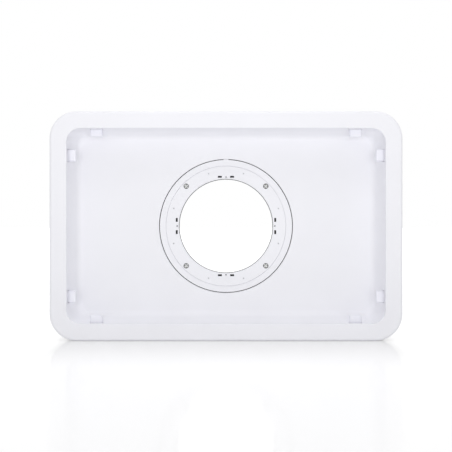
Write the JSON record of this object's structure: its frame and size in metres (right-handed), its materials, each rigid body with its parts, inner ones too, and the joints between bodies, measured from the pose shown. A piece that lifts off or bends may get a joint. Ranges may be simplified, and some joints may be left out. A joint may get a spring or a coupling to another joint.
{
  "type": "ceiling access point mounting housing",
  "caption": "White rectangular housing for a ceiling access point: deep recess with spring clips in its walls and a swivelling bayonet ring round a large cable opening.",
  "frame": {"origin": "on the axis of the round opening, in the ceiling plane at the rear edge of the skirt", "axes": "+X along the long side, +Y out of the rear into the ceiling, so the front faces -Y, +Z along the short side, up when it stands on its lower long edge"},
  "size_m": [0.352, 0.036, 0.229],
  "materials": {
    "white_shell": "white moulded shell plastic, fine satin texture",
    "white_acetal": "white clip plastic, smoother and slightly cooler than the shell",
    "grey_acetal": "grey moulded plastic, satin",
    "black_acetal": "black moulded plastic, satin",
    "zinc_steel": "zinc-plated steel",
    "spring_steel": "blackened spring steel"
  },
  "bodies": {
    "housing": {"bezel_frame": "white_shell", "recess_pan": "white_shell", "bezel_screw_1": "zinc_steel", "bezel_screw_2": "zinc_steel", "bezel_screw_3": "zinc_steel", "bezel_screw_4": "zinc_steel", "bezel_screw_5": "zinc_steel", "bezel_screw_6": "zinc_steel"},
    "ring": {"swivel_disc": "white_shell", "bayonet_ring": "white_shell", "clamp_plate": "zinc_steel", "glide_washer": "black_acetal", "ring_screw_1": "zinc_steel", "ring_screw_2": "zinc_steel", "ring_screw_3": "zinc_steel", "ring_screw_4": "zinc_steel", "ring_nut_1": "zinc_steel", "ring_nut_2": "zinc_steel", "ring_nut_3": "zinc_steel", "ring_nut_4": "zinc_steel", "detent_leaf_1": "spring_steel", "detent_leaf_2": "spring_steel", "detent_leaf_3": "spring_steel", "detent_leaf_4": "spring_steel", "leaf_rivet_1": "grey_acetal", "leaf_rivet_2": "grey_acetal", "leaf_rivet_3": "grey_acetal", "leaf_rivet_4": "grey_acetal", "leaf_rivet_5": "grey_acetal", "leaf_rivet_6": "grey_acetal", "leaf_rivet_7": "grey_acetal", "leaf_rivet_8": "grey_acetal"},
    "clip_1": {"cover_clip_1": "white_acetal"},
    "clip_2": {"cover_clip_2": "white_acetal"},
    "clip_3": {"cover_clip_3": "white_acetal"},
    "clip_4": {"cover_clip_4": "white_acetal"},
    "clip_5": {"cover_clip_5": "white_acetal"},
    "clip_6": {"cover_clip_6": "white_acetal"},
    "clip_7": {"cover_clip_7": "white_acetal"},
    "clip_8": {"cover_clip_8": "white_acetal"},
    "pip_1": {"detent_pip_1": "grey_acetal"},
    "pip_2": {"detent_pip_2": "grey_acetal"},
    "pip_3": {"detent_pip_3": "grey_acetal"},
    "pip_4": {"detent_pip_4": "grey_acetal"}
  },
  "joints": [
    {"name": "ring_swivel", "type": "hinge", "parent": "housing", "child": "ring", "pos_m": [0, 0, 0], "axis": [0, 1, 0], "continuous": true},
    {"name": "clip_1_flex", "type": "hinge", "parent": "housing", "child": "clip_1", "pos_m": [-0.1305, -0.01, 0.1023], "axis": [-1, 0, 0], "range_deg": [0, 9], "stiffness_Nm_per_rad": 0.8},
    {"name": "clip_2_flex", "type": "hinge", "parent": "housing", "child": "clip_2", "pos_m": [0.1305, -0.01, 0.1023], "axis": [-1, 0, 0], "range_deg": [0, 9], "stiffness_Nm_per_rad": 0.8},
    {"name": "clip_3_flex", "type": "hinge", "parent": "housing", "child": "clip_3", "pos_m": [0.1638, -0.01, 0.0712], "axis": [0, 0, 1], "range_deg": [0, 9], "stiffness_Nm_per_rad": 0.8},
    {"name": "clip_4_flex", "type": "hinge", "parent": "housing", "child": "clip_4", "pos_m": [0.1638, -0.01, -0.0712], "axis": [0, 0, 1], "range_deg": [0, 9], "stiffness_Nm_per_rad": 0.8},
    {"name": "clip_5_flex", "type": "hinge", "parent": "housing", "child": "clip_5", "pos_m": [0.1305, -0.01, -0.1023], "axis": [1, 0, 0], "range_deg": [0, 9], "stiffness_Nm_per_rad": 0.8},
    {"name": "clip_6_flex", "type": "hinge", "parent": "housing", "child": "clip_6", "pos_m": [-0.1305, -0.01, -0.1023], "axis": [1, 0, 0], "range_deg": [0, 9], "stiffness_Nm_per_rad": 0.8},
    {"name": "clip_7_flex", "type": "hinge", "parent": "housing", "child": "clip_7", "pos_m": [-0.1638, -0.01, -0.0712], "axis": [0, 0, -1], "range_deg": [0, 9], "stiffness_Nm_per_rad": 0.8},
    {"name": "clip_8_flex", "type": "hinge", "parent": "housing", "child": "clip_8", "pos_m": [-0.1638, -0.01, 0.0712], "axis": [0, 0, -1], "range_deg": [0, 9], "stiffness_Nm_per_rad": 0.8},
    {"name": "pip_1_press", "type": "slide", "parent": "ring", "child": "pip_1", "axis": [0, 1, 0], "range_m": [0, 0.0005], "stiffness_N_per_m": 3000, "deforming": ["detent_leaf_1"]},
    {"name": "pip_2_press", "type": "slide", "parent": "ring", "child": "pip_2", "axis": [0, 1, 0], "range_m": [0, 0.0005], "stiffness_N_per_m": 3000, "deforming": ["detent_leaf_2"]},
    {"name": "pip_3_press", "type": "slide", "parent": "ring", "child": "pip_3", "axis": [0, 1, 0], "range_m": [0, 0.0005], "stiffness_N_per_m": 3000, "deforming": ["detent_leaf_3"]},
    {"name": "pip_4_press", "type": "slide", "parent": "ring", "child": "pip_4", "axis": [0, 1, 0], "range_m": [0, 0.0005], "stiffness_N_per_m": 3000, "deforming": ["detent_leaf_4"]}
  ]
}
